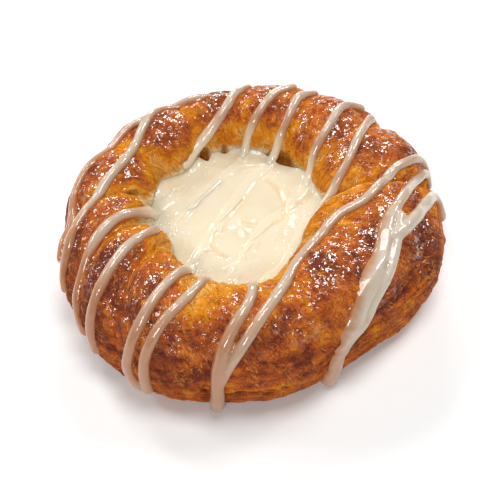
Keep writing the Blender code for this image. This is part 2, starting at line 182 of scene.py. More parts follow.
# Finer meshes than the solids
PASTRY_AROUND = 720
PASTRY_SPANS = ((-2, -1, 2), (-1, -0.3, 2), (-0.3, 0, 6), (0, 1, 30), (1, 1.7, 40), (1.7, 2.5, 40),
                (2.5, 3, 8), (3, 4, 3))
FILLING_AROUND = 360
FILLING_SPANS = ((-1, 0, 110), (0, 1, 8), (1, 2, 3))
RING_MIDDLE = 40 * MM

# Routes of the icing: waypoints (theta, v), then (share of its length, thickness)
THIN = ((0.0, 1.0), (1.0, 1.0))
ICING_ROUTES = {
    "far_left": (
        ((134, 1.20), (142, 1.30), (156, 1.38), (168, 1.46), (177, 1.58), (187, 1.68), (193, 1.78)),
        ((0.0, 0.75), (1.0, 1.0)),
    ),
    "left": (
        ((108, 1.18), (112, 1.22), (120, 1.40), (129, 1.28), (140, 1.07), (158, 0.87), (172, 1.03),
         (184, 1.25), (190, 1.40), (194, 1.57), (196, 1.78), (199, 1.98)),
        THIN,
    ),
    "back_left_foot": (
        ((90, 1.45), (94, 1.25), (96, 0.91), (100, 0.66), (106, 0.45), (112, 0.24), (119, 0.16), (128, 0.10)),
        ((0.0, 1.0), (0.8, 1.1), (1.0, 1.35)),
    ),
    "second": (
        ((160, -0.24), (174, -0.08), (184, 0.16), (191, 0.40), (194, 0.80), (198, 1.13), (202, 1.43),
         (204, 1.60), (206, 1.74), (210, 1.95), (213, 2.14)),
        ((0.0, 1.7), (0.12, 1.5), (0.28, 1.0), (1.0, 1.15)),
    ),
    "third": (
        ((72.5, 1.30), (74, 1.22), (77, 1.10), (78, 0.88), (80, 0.62), (82, 0.39), (84, 0.08), (88, -0.22),
         (112, -0.44), (157, -0.50), (193, -0.28), (202, -0.05), (210, 0.55), (212, 0.89), (213, 1.07),
         (216, 1.36), (217, 1.59), (218, 1.87), (220, 2.16)),
        ((0.0, 1.0), (0.4, 0.9), (1.0, 1.15)),
    ),
    "fourth": (
        ((65.5, 1.40), (66, 1.35), (68, 1.13), (66, 0.90), (64, 0.60), (63, 0.30), (63, 0.05), (68, -0.30),
         (90, -0.80), (225, -0.70), (237, -0.28), (241, 0.10), (242, 0.55), (240, 0.84), (238, 1.06),
         (236, 1.36), (234, 1.74), (233, 2.08), (236, 2.45)),
        ((0.0, 1.0), (0.4, 0.9), (1.0, 1.25)),
    ),
    "fifth": (
        ((49.0, 1.46), (51, 1.38), (51, 1.22), (48, 1.02), (44, 0.79), (41, 0.55), (38, 0.34),
         (34, 0.12), (29, -0.08), (12, -0.36), (320, -0.58), (272, -0.30), (257, 0.03), (253, 0.60),
         (252, 0.76), (249, 0.94), (246, 1.16), (243, 1.31), (241, 1.49), (239, 1.75), (239, 2.08),
         (239, 2.36)),
        ((0.0, 1.0), (0.4, 0.9), (1.0, 1.2)),
    ),
    "sixth": (
        ((43.5, 1.44), (42, 1.34), (35, 1.05), (28, 0.86), (20, 0.67), (13, 0.38), (7, 0.22),
         (359, -0.03), (344, -0.07), (326, -0.05), (306, -0.07), (291, -0.10), (280, 0.15), (276, 0.75),
         (273, 1.00), (267, 1.25), (263, 1.46), (261, 1.66), (260, 1.90), (260, 2.24), (260, 2.60)),
        ((0.0, 1.0), (0.4, 0.9), (0.8, 1.2), (1.0, 1.5)),
    ),
    "seventh": (
        ((21, 1.86), (24, 1.66), (20, 1.39), (15, 1.15), (4, 0.98), (353, 0.86), (346, 0.70), (336, 0.62),
         (326, 0.58), (314, 0.60), (303, 0.60), (293, 0.74), (286, 0.93), (278, 1.14), (270.9, 1.38),
         (266.4, 1.59), (262.9, 1.79), (260.8, 2.04)),
        ((0.0, 1.0), (0.85, 1.15), (0.93, 0.9), (1.0, 0.5)),
    ),
    "wide": (
        ((19, 1.88), (20, 1.68), (14, 1.45), (6, 1.27), (0, 1.20), (353, 1.15), (345, 1.14), (336, 1.22),
         (330, 1.28), (323.5, 1.36), (318, 1.43), (313.5, 1.52), (308, 1.64), (305, 1.79), (302, 1.97),
         (298, 2.62)),
        ((0.0, 1.0), (0.34, 1.1), (0.44, 2.7), (0.60, 3.2), (0.76, 3.0), (0.89, 2.1), (1.0, 1.6)),
    ),
    "wide_branch": (
        ((6, 1.87), (9, 1.80), (10.5, 1.68), (5, 1.53), (357, 1.39), (350, 1.31), (341, 1.24)),
        ((0.0, 1.2), (1.0, 1.5)),
    ),
}

# Thicker right edge of the wide strand, over its thin film
EDGE_ROUTE = (
    ((350, 1.20), (345, 1.22), (336, 1.31), (330, 1.39), (323.5, 1.48), (318, 1.56), (313.5, 1.65),
     (308.5, 1.76), (305.5, 1.87), (302.5, 2.03)),
    ((0.0, 0.9), (0.3, 1.05), (0.8, 1.05), (1.0, 0.9)),
)
# How whitish the icing is along the ring's section: (v, share). Partly its thickness, partly painted shade:
# less white down the belly, where less light falls.
ICING_BODY_AND_SHADE = ((0.0, 0.85), (0.5, 0.74), (0.9, 0.80), (1.1, 0.88), (1.3, 0.74), (1.55, 0.46), (1.8, 0.30),
              (2.2, 0.30), (2.5, 0.5))
# Where the icing is thinner, and on the low left side painted shade: (theta, width in degrees, v from, v to,
# fade in v, share lost)
THIN_AND_SHADED_PATCHES = (
    (75, 40, 0.2, 0.6, 0.20, 0.45),
    (205, 25, 1.5, 2.6, 0.25, 0.40),
    (255, 26, 1.2, 2.2, 0.25, 0.35),
)
STRAND_STEP = 1.2 * MM
RIDGE_STEP = 0.6 * MM
WANDER = 0.16                # share by which a thin strand's width wanders
WANDER_CELL = 5.5 * MM
SMOOTHING_ROUNDS = 6
# The icing grows whiter over this rise, which starts just under the crust's surface
WHITE_HEIGHT = 1.5 * MM
# The icing takes the cream's colour from this far outside the well's rim, over this reach
CREAM_TINT_START = 4.0 * MM
CREAM_TINT_REACH = 5 * MM
# Strands whose ends hang clear of the crust as drips
DRIPS = ("sixth", "wide")
# Least whiteness of the strands that are thicker than the others
THICK_STRANDS = {"wide": 0.82, "wide_edge": 1.0, "wide_branch": 0.95, "seventh": 0.65}
# Lines left in the filling: points in plan, in mm from the well's middle
FILLING_RIDGES = (
    ((-5, 14), (-11, 6), (-18, -4.5), (-18, -8.7)),
    ((-16, 11), (-19, 10), (-19.5, 7)),
    ((1.5, 5.3), (-0.6, 2), (-5, -4)),
    ((-4, -5.3), (-4.4, -9)),
    ((10.3, -4.5), (6, -9.5), (2, -13)),
    ((5, -12), (1.8, -16), (2.6, -17)),
    ((1, -17.8), (-3.2, -21)),
    ((-6.8, -14), (-9.4, -14.4), (-11.8, -19)),
    ((2, 19.7), (8.8, 20)),
)
FILLING_CREASES = (
    ((9, 13.5), (12.6, 9.5), (14, 5), (14, -2), (11, -4.5)),
    ((-6, -7.6), (-6.8, -11.4), (-5, -15.5), (-2.4, -16.7)),
    ((2.6, -3.8), (5.9, -3.8)),
    ((19, 4), (23, 8)),
)

# Lights: name, the setting that holds its power, diameter and place in metres
LIGHTS = (
    ("key_light", "key_power", 0.56, (0.10, 0.12, 1.35)),
    ("left_light", "left_power", 0.34, (-0.60, 0.86, 0.90)),
    ("side_light", "side_power", 0.36, (-1.15, 0.45, 0.78)),
    ("back_light", "back_power", 0.40, (0.0, 1.40, 0.45)),
    ("right_light", "right_power", 0.42, (0.66, 0.64, 0.98)),
    ("fill_light", "fill_power", 0.62, (-0.30, -1.60, 1.15)),
)
SKY_COLOUR = (1.0, 0.99, 0.97, 1)
FLOOR_HALF = 3.0
# Camera: its lens and sensor in mm, and the point it looks at, from the danish's middle
LENS = 86.8
SENSOR = 36.0
AIM_HEIGHT = 12 * MM
AIM_DOWN = 2.1 * MM
AIM_LEFT = 0.3 * MM


def length_prop(name, description, default):
    """A size in metres that the user can change."""
    return FloatProperty(name=name, description=description, default=default, min=0.0,
                         unit="LENGTH", precision=5)


def share_prop(name, description, default):
    """A share from 0 to 1 that the user can change."""
    return FloatProperty(name=name, description=description, default=default, min=0.0, max=1.0,
                         subtype="FACTOR")


def colour_prop(name, description, default):
    """A colour that the user can change."""
    return FloatVectorProperty(name=name, description=description, default=default, size=3,
                               subtype="COLOR", min=0.0, max=1.0)


def power_prop(name, description, default):
    """A strength of light that the user can change."""
    return FloatProperty(name=name, description=description, default=default, min=0.0)


class DanishCrustSettings(PropertyGroup):
    """Relief and colours of the baked crust"""
    unevenness: length_prop("Unevenness", "Height of the broad lumps", 0.45 * MM)
    layer_edge: length_prop("Layer edge", "Height of the edges of the dough's layers", 0.48 * MM)
    wrinkle: length_prop("Wrinkle", "Height of the wrinkles across the ring", 0.36 * MM)
    blister: length_prop("Blister", "Height of the small blisters on the crest", 0.20 * MM)
    pale: colour_prop("Pale", "Moist dough at the well's rim", (0.74, 0.38, 0.085))
    golden: colour_prop("Golden", "Lightly baked dough in the folds", (0.72, 0.255, 0.010))
    brown: colour_prop("Brown", "Baked crust", (0.47, 0.100, 0.018))
    dark: colour_prop("Dark", "The most baked crust", (0.165, 0.030, 0.016))
    thread: colour_prop("Thread", "Thin flaky threads", (0.72, 0.27, 0.055))
    cream: colour_prop("Cream", "Cream smeared over the rim", (0.80, 0.63, 0.37))
    # Painted shade inside the gaps and holes
    cavity_shade: colour_prop("Cavity", "Inside the gaps and holes", (0.13, 0.036, 0.014))
    glaze: share_prop("Glaze", "How much glossy glaze lies on the crust", 1.0)
    glaze_roughness: share_prop("Glaze roughness", "Roughness of the glaze", 0.06)


class DanishFillingSettings(PropertyGroup):
    """Form and colours of the cream cheese"""
    ridge: length_prop("Ridge", "Height of the icing's ridges over the filling", 0.36 * MM)
    ridge_width: length_prop("Ridge width", "Half width of those ridges", 2.3 * MM)
    line: length_prop("Line", "Height of the thin lines left by the spoon", 0.42 * MM)
    cream: colour_prop("Cream", "The filling", (0.755, 0.668, 0.498))
    # Painted shade: the colour the cream takes in its hollows and creases
    deep: colour_prop("Deep cream", "The filling in its hollows", (0.76, 0.60, 0.36))
    # Painted glint on the small bubbles
    bubble_glint: colour_prop("Bubble", "Small bubbles in the filling", (1.0, 0.98, 0.92))


class DanishIcingSettings(PropertyGroup):
    """Form and colours of the drizzled icing"""
    radius: length_prop("Strand radius", "Radius of a plain strand", 1.6 * MM)
    rise: length_prop("Strand height", "How far a strand stands out of the crust", 1.6 * MM)
    drip: length_prop("Drip", "How far the drips at the ends hang off the crust", 1.6 * MM)
    voxel: length_prop("Melting size", "Grain of the mesh that melts the strands together", 0.43 * MM)
    thick: colour_prop("Thick icing", "Icing where it is thick", (0.55, 0.43, 0.325))
    film: colour_prop("Icing film", "Icing of middling thickness", (0.48, 0.255, 0.148))
    white: colour_prop("White icing", "Icing where it is thickest", (0.60, 0.515, 0.425))
    thin: colour_prop("Thin icing", "Icing where the crust shows through", (0.42, 0.155, 0.05))
    cream: colour_prop("Icing on cream", "Icing over the filling", (0.76, 0.665, 0.50))


class DanishStageSettings(PropertyGroup):
    """Floor, light and camera"""
    floor: colour_prop("Floor", "The floor", (0.94, 0.94, 0.935))
    key_power: power_prop("Key light", "Power of the overhead light in watts", 7.8)
    left_power: power_prop("Left light", "Power of the light behind on the left in watts", 4.8)
    side_power: power_prop("Side light", "Power of the light at the left in watts", 4.3)
    back_power: power_prop("Back light", "Power of the low light behind in watts", 6.0)
    right_power: power_prop("Right light", "Power of the light behind on the right in watts", 5.7)
    fill_power: power_prop("Fill light", "Power of the front light in watts", 16.4)
    sky: power_prop("Sky", "Strength of the even light from all round", 0.11)
    distance: length_prop("Camera distance", "From the camera to the danish", 360 * MM)
    elevation: FloatProperty(name="Camera elevation", description="Angle above the horizon",
                             default=math.radians(51), subtype="ANGLE")


def folded(angle):
    """Degrees folded into -180 to 180."""
    return (angle + 180) % 360 - 180


def bell(theta, place, width):
    """1 in one direction, falling smoothly to 0 away from it."""
    return np.exp(-(folded(theta - place) / width) ** 2)


def swells(theta, table):
    """Sum of the smooth swells of a table at the directions theta."""
    return sum(size * bell(theta, place, width) for place, width, size in table)


def smooth_step(x):
    """0 below 0, 1 above 1, and a smooth rise between."""
    x = np.clip(x, 0, 1)
    return x * x * (3 - 2 * x)


def window(x, low, high, fade):
    """1 between low and high, fading to 0 outside."""
    return smooth_step((x - low) / fade + 1) * smooth_step((high - x) / fade + 1)


def direction(theta):
    """Unit vectors in plan for directions in degrees."""
    turn = np.radians(theta)
    return np.stack([np.cos(turn), np.sin(turn)], -1)


def fold_drop(theta):
    """Depth of the folds below the lobes' tops at each direction, without any twist."""
    places = np.array([place for place, depth in FOLDS], float)
    depths = np.array([depth for place, depth in FOLDS])
    places = np.concatenate([places, places[:1] + 360])
    depths = np.concatenate([depths, depths[:1]])
    turn = (theta - places[0]) % 360 + places[0]
    left = np.clip(np.searchsorted(places, turn, side="right") - 1, 0, len(places) - 2)
    span = places[left + 1] - places[left]
    share = (turn - places[left]) / span
    depth = depths[left] * (1 - share) + depths[left + 1] * share
    from_fold = np.minimum(share, 1 - share) * span
    pillow = np.abs(2 * share - 1) ** 3
    crease = np.exp(-from_fold / FOLD_CREASE)
    return depth * (0.5 * pillow + 0.5 * crease)


def outer_radius(theta):
    """Radius of the belly round the modelled middle."""
    waves = sum(size * np.cos(count * np.radians(theta - place)) for count, size, place in OUTLINE_WAVES)
    return OUTER_RADIUS * (1 + waves) + swells(theta, OUTLINE_SWELLS)


def well_radius(theta):
    """Radius of the well round its own middle, with a notch at each fold."""
    return WELL_RADIUS + swells(theta, WELL_SWELLS) + RIM_WAVE * (fold_drop(theta) - 1.2 * MM)


def plain_ring(theta, v):
    """Points of the ring before its folds."""
    inner = WELL_SHIFT + well_radius(theta)[..., None] * direction(theta)
    outer = outer_radius(theta)[..., None] * direction(theta)
    rise = np.clip(v, 0, 1) * math.pi / 2
    fall = np.clip(v - 1, 0, 1) * math.pi / 2
    under = np.clip(v - 2, 0, 1) * math.pi / 2
    inside = CREST_SHARE * (1 - np.cos(rise))
    outside = CREST_SHARE + (1 - CREST_SHARE) * np.sin(fall)
    below = 1 - (1 - BASE_SHARE) * (1 - np.cos(under))
    share = np.where(v < 1, inside, np.where(v < 2, outside, below))
    height_in = RIM_HEIGHT + (CREST_HEIGHT - RIM_HEIGHT) * np.sin(rise) ** SHOULDER_POWER
    height_out = BELLY_HEIGHT + (CREST_HEIGHT - BELLY_HEIGHT) * np.abs(np.cos(fall)) ** SHOULDER_POWER
    height_under = BELLY_HEIGHT * (1 - np.sin(under))
    height = np.where(v < 1, height_in, np.where(v < 2, height_out, height_under))
    wall = FLOOR_HEIGHT + (RIM_HEIGHT - FLOOR_HEIGHT) * np.clip(v + 1, 0, 1)
    height = np.where(v < 0, wall, height)
    plan = inner + (outer - inner) * share[..., None]
    floor = WELL_SHIFT + (inner - WELL_SHIFT) * np.clip(v + 2, 0, 1)[..., None]
    plan = np.where((v < -1)[..., None], floor, plan)
    plan = plan * np.clip(4 - v, 0, 1)[..., None]
    return np.concatenate([plan, height[..., None]], -1)


def past_seam(theta, v):
    """How far v lies outside the seam of the coil's tail, and how strongly the seam shows there."""
    along = (SEAM_START[0] - folded(theta)) / (SEAM_START[0] - SEAM_END[0])
    seam_v = SEAM_START[1] + (SEAM_END[1] - SEAM_START[1]) * np.clip(along, 0, 1)
    strength = smooth_step(along / 0.12) * (1 - smooth_step((along - 0.9) / 0.2))
    return v - seam_v, strength


def relief(theta, v):
    """How far the crust stands out of the plain ring: folds, the coil's overlap, its seam and its tail."""
    turned = theta - FOLD_TWIST * (v - 1)
    reach = smooth_step((v - 0.02) / 0.4) * (1 - smooth_step((v - 2.1) / 0.8))
    folds = -fold_drop(turned) + 0.7 * MM
    from_overlap = folded(turned - OVERLAP_ANGLE)
    overlap = -OVERLAP_RISE * np.tanh(from_overlap / 2) * np.exp(-np.abs(from_overlap) / OVERLAP_REACH)
    past, strength = past_seam(theta, v)
    crease = -SEAM_DEPTH * np.exp(-np.abs(past) / SEAM_WIDTH)
    tail = -TAIL_DROP * smooth_step(past / 0.1)
    return reach * (folds + overlap + strength * (crease + tail))


def pastry_surface(theta, v):
    """Points of the crust: the plain ring moved along its section's normal by the relief."""
    step = 0.01
    here = plain_ring(theta, v)
    run = plain_ring(theta, v + step) - plain_ring(theta, v - step)
    out = direction(theta)
    across = (run[..., :2] * out).sum(-1)
    up = run[..., 2]
    length = np.maximum(np.hypot(across, up), 1e-9)
    size = np.where((v > 0) & (v < 3), relief(theta, v) / length, 0)
    moved = here.copy()
    moved[..., :2] -= (size * up)[..., None] * out
    moved[..., 2] += size * across
    moved[..., 2] = np.maximum(moved[..., 2], 0)
    return moved


def filling_height(plan):
    """Height of the filling's top at points in plan, with its dome, swirled ridge and curl."""
    place = plan - WELL_SHIFT
    far = np.hypot(place[..., 0], place[..., 1])
    turn = np.degrees(np.arctan2(place[..., 1], place[..., 0]))
    dome = FILLING_DOME * (1 - (far / WELL_RADIUS) ** 2)
    ridge_radius = SWIRL_RADIUS + 3.0 * MM * folded(turn) / 90
    ridge_window = bell(turn, -5, 55)
    ridge = SWIRL_RIDGE * ridge_window * np.exp(-((far - ridge_radius) / SWIRL_WIDTH) ** 2)
    from_curl = np.hypot(*np.moveaxis(plan - CURL_PLACE, -1, 0))
    curl = CURL_HEIGHT * np.exp(-(from_curl / CURL_WIDTH) ** 2)
    edge = smooth_step((well_radius(turn) - far) / (4 * MM))
    return RIM_HEIGHT - 0.9 * MM + dome * edge + (ridge + curl) * edge


def filling_surface(theta, v):
    """Points of the filling: v from -1 to 0 over its top, to 1 down its side, to 2 in to the middle."""
    edge = well_radius(theta) + 0.15 * MM
    notch = swells(theta, RIM_GAPS) * smooth_step((v + 0.35) / 0.35)
    share = np.where(v < 0, v + 1, np.where(v > 1, 2 - v, 1))
    far = edge * share - np.where(v <= 1, notch, 0)
    plan = WELL_SHIFT + far[..., None] * direction(theta)
    foot = FLOOR_HEIGHT + 0.3 * MM
    from_wall = np.maximum(edge - np.where(v <= 0, far + notch, edge), 0)
    climb = RIM_CLIMB * np.exp(-from_wall / CLIMB_WIDTH) * (0.65 + 0.35 * np.cos(np.radians(theta * 9)))
    climb *= 1 - smooth_step(swells(theta, RIM_GAPS) / (0.8 * MM))
    top = filling_height(plan) + climb
    down = np.clip(v, 0, 1)
    height = np.where(v > 1, foot, top + (foot - top) * down)
    return np.concatenate([plan, height[..., None]], -1)


def stations(spans):
    """Values of v for the rings of a blank, from its spans."""
    values = [float(spans[0][0])]
    for start, end, count in spans:
        values += [start + (end - start) * (i + 1) / count for i in range(count)]
    return np.array(values)


def blank_mesh(name, around, spans):
    """A UV sphere's mesh, and the place (theta, v) that each of its vertices will be moulded to."""
    values = stations(spans)
    rings = len(values) - 1
    blank = bmesh.new()
    bmesh.ops.create_uvsphere(blank, u_segments=around, v_segments=rings, radius=1.0)
    mesh = bpy.data.meshes.new(name)
    blank.to_mesh(mesh)
    blank.free()
    places = read_points(mesh)
    theta = np.degrees(np.arctan2(places[:, 1], places[:, 0])) % 360
    row = np.rint(np.arccos(np.clip(places[:, 2], -1, 1)) / math.pi * rings).astype(int)
    return mesh, theta, values[row]


def read_points(mesh):
    """A mesh's vertices as an array."""
    points = np.empty(len(mesh.vertices) * 3)
    mesh.vertices.foreach_get("co", points)
    return points.reshape(-1, 3)


def write_points(mesh, points):
    """Moves a mesh's vertices."""
    mesh.vertices.foreach_set("co", np.asarray(points, np.float32).ravel())
    mesh.update()


def store(mesh, name, values):
    """Keeps one number or one vector for each vertex, for the material to read."""
    if values.ndim == 1:
        mesh.attributes.new(name, "FLOAT", "POINT").data.foreach_set("value", values.astype(np.float32))
    else:
        mesh.attributes.new(name, "FLOAT_VECTOR", "POINT").data.foreach_set(
            "vector", values.astype(np.float32).ravel())


def show(name, mesh, material):
    """Makes a finished piece of a mesh: its object, its material and its place in the frame."""
    mesh.materials.clear()
    mesh.materials.append(material)
    mesh.shade_smooth()
    obj = bpy.data.objects.new(name, mesh)
    bpy.context.scene.collection.objects.link(obj)
    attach(obj, "root")
    return obj


def soft_noise(points, cell, octaves=3):
    """Cloudy noise, about -1 to 1, whose lumps are one cell across."""
    return np.array([noise.fractal(p, 0.9, 2.0, octaves) for p in (points / cell).tolist()])


def crease_noise(points, cell):
    """0 along wandering lines and up to 1 between them."""
    return np.abs(np.array([noise.noise(p) for p in (points / cell).tolist()])) * 2


def blister_noise(points, cell):
    """Round bumps, 1 at their tops and 0 between them."""
    far = np.array([noise.voronoi(p)[0][0] for p in (points / cell).tolist()])
    return np.clip(1 - far / 0.55, 0, 1) ** 0.5


def grain_space(theta, v, arc):
    """Coordinates that run round the ring and along its section, turned with the folds."""
    turned = theta - GRAIN_TWIST * (v - 1)
    return np.concatenate([RING_MIDDLE * direction(turned), arc[:, None]], -1)


def section_arc(v):
    """Length along the section from the well's rim, at the ring's usual size."""
    marks = np.linspace(-1, 3, 161)
    middle = plain_ring(np.full(marks.shape, 90.0), marks)
    run = np.concatenate([[0], np.cumsum(np.linalg.norm(np.diff(middle, axis=0), axis=1))])
    return np.interp(v, marks, run)


def surface_normals(surface, theta, v):
    """Outward normals of a surface given by (theta, v)."""
    turn_step, v_step = 0.4, 0.01
    around = surface(theta + turn_step, v) - surface(theta - turn_step, v)
    along = surface(theta, v + v_step) - surface(theta, v - v_step)
    normal = np.cross(along, around)
    length = np.linalg.norm(normal, axis=1)
    normal[length < 1e-12] = (0, 0, 1)
    return normal / np.maximum(np.linalg.norm(normal, axis=1), 1e-12)[:, None]


def fold_shade(theta, v):
    """1 in the folds and 0 on the lobes."""
    turned = theta - FOLD_TWIST * (v - 1)
    return np.clip(fold_drop(turned) / (2.4 * MM), 0, 1)


def crust_detail(settings, points, grain, theta, v):
    """Height of the relief of the crust at each vertex, and that of its finest forms alone."""
    past, tail = past_seam(theta, v)
    on_tail = tail * smooth_step(past / 0.1)
    outer = np.maximum(smooth_step((v - 1.35) / 0.5), on_tail)
    inner = 1 - smooth_step((v - 0.55) / 0.4)
    crest = window(v, 0.7, 1.9, 0.25)
    folds = fold_shade(theta, v)
    warp = soft_noise(points, WARP_CELL, 2) * WARP
    lumps = soft_noise(points, LUMP_CELL)

    across = grain.copy()
    across[:, 2] += warp
    layers = np.minimum(crease_noise(across * (0.22, 0.22, 1.0), LAYER_CELL), 1)
    wrinkles = crease_noise(grain * (1.0, 1.0, 0.22) + warp[:, None] * (0.3, 0.3, 0), WRINKLE_CELL)
    wrinkles = np.minimum(wrinkles, 1)
    blisters = blister_noise(points, BLISTER_CELL) * (0.6 + 0.4 * lumps)

    detail = np.zeros(len(points))
    detail += settings.layer_edge * (layers - 0.6) * (0.35 + 0.65 * outer)
    detail += settings.wrinkle * (wrinkles - 0.6) * np.maximum(np.maximum(inner, folds), 0.35)
    detail += settings.blister * blisters * crest
    detail += CRUMB_HEIGHT * soft_noise(points, CRUMB_CELL, 2)
    detail += RIPPLE_HEIGHT * soft_noise(points, RIPPLE_CELL, 2) * outer
    shown = window(v, 0.08, 2.85, 0.1)
    return (settings.unevenness * lumps + detail) * shown, detail * shown


def from_hole(theta, v, hole):
    """How far places lie from a hole's middle, 1 at its edge."""
    place, level, wide, tall = hole
    return np.hypot(folded(theta - place) / wide, (v - level) / tall)


def holes(theta, v):
    """Depth of the small holes between the layers near the lower edge."""
    draw = np.random.default_rng(5)
    depth = np.zeros(len(theta))
    for index in range(70):
        place = draw.uniform(0, 360)
        level = draw.uniform(2.02, 2.55)
        wide = draw.uniform(0.5, 1.5)
        tall = draw.uniform(0.010, 0.030)
        deep = draw.uniform(0.4, 1.3) * MM
        far = from_hole(theta, v, (place, level, wide, tall))
        depth = np.maximum(depth, deep * np.clip(1.3 - far, 0, 1))
    for hole in EDGE_HOLES:
        depth = np.maximum(depth, EDGE_HOLE_DEPTH * np.clip(1.5 - from_hole(theta, v, hole), 0, 1))
    return depth


def hole_lips(theta, v):
    """1 on the thin raised lips round the holes at the edge, 0 away from them."""
    lips = np.zeros(len(theta))
    for hole in EDGE_HOLES:
        lips = np.maximum(lips, np.exp(-((from_hole(theta, v, hole) - 2.0) / 0.45) ** 2))
    return lips


def gap_floor(theta, v):
    """How far the well's wall steps inwards under the gaps at the rim, to close them below."""
    gaps = swells(theta, RIM_GAPS)
    return (gaps + 0.3 * MM) * window(v, -0.9, -0.20, 0.08) * smooth_step(gaps / (0.5 * MM))


def cavities(theta, v):
    """1 inside the holes at the edge, less in the gaps at the rim, 0 outside them; the crust is painted dark
    there as shade.
    """
    gaps = np.clip(swells(theta, RIM_GAPS) / (1.2 * MM) - 0.25, 0, 1)
    inside = 0.5 * gaps * smooth_step((GAP_HEIGHT * gaps - v) / 0.05) * smooth_step((v + 1.0) / 0.2)
    for hole in EDGE_HOLES:
        inside = np.maximum(inside, smooth_step(1.6 - from_hole(theta, v, hole)))
    return inside


def cream_smear(points, theta, v):
    """How much cream is smeared over the crust near the rim."""
    reach = 0.06 + swells(theta, CREAM_SMEARS)
    edge = reach * (1 + 0.5 * soft_noise(points, 4 * MM, 2))
    start, end, low, high, share = CREAM_STRIP
    strip = share * window(theta, start, end, 4) * window(v, low, high, 0.08)
    return np.maximum(smooth_step((edge - v) / 0.12), strip)


def bake_and_painted_shade(points, theta, v):
    """How baked the crust is at each vertex, 0 pale to 1 darkest, with painted shade added on the lower left,
    on the front belly and along the coil's seam.
    """
    past, tail = past_seam(theta, v)
    folds = fold_shade(theta, v)
    rise = smooth_step((v - 0.15) / 0.75)
    shade = 0.20 + 0.50 * rise - 0.16 * (1 - smooth_step((v - 0.02) / 0.14))
    shade -= 0.36 * folds * window(v, 0.2, 1.7, 0.3)
    for place, width, low, high, fade, size in BAKE_AND_SHADE_PATCHES:
        shade += size * bell(theta, place, width) * window(v, low, high, fade)
    shade -= 0.04 * window(v, 2.05, 2.7, 0.15)
    # painted shade along the crease of the coil's seam
    shade += 0.16 * tail * np.exp(-np.abs(past) / 0.16)
    shade += 0.34 * soft_noise(points, 9 * MM)
    shade += 0.14 * soft_noise(points, 3 * MM, 2)
    evened = 0.5 * smooth_step((v - 1.75) / 0.35)
    shade += evened * (0.51 - shade)
    shade = np.maximum(shade, 0.38 * smooth_step((v - 0.9) / 0.5) + 0.20 * evened)
    shade = np.where(v < 0, 0.30, shade)
    return np.clip(shade, 0, 1)


def glaze_share(points, theta, v):
    """How much glaze lies on the crust: patchy on top, little on the sides and none inside."""
    patches = smooth_step((soft_noise(points, 10 * MM, 2) + 0.35) / 0.4)
    patches = np.maximum(patches, bell(theta, 174, 20))
    patches *= 1 - 0.55 * bell(theta, 208, 15) * smooth_step((v - 1.15) / 0.3)
    top = window(v, 0.65, 1.45, 0.3)
    front = bell(theta, 262, 42) * smooth_step((v - 0.85) / 0.35)
    return (0.15 + 0.85 * patches) * (0.12 + 0.88 * top) * (1 - 0.75 * front) * np.where(v < 0, 0, 1)


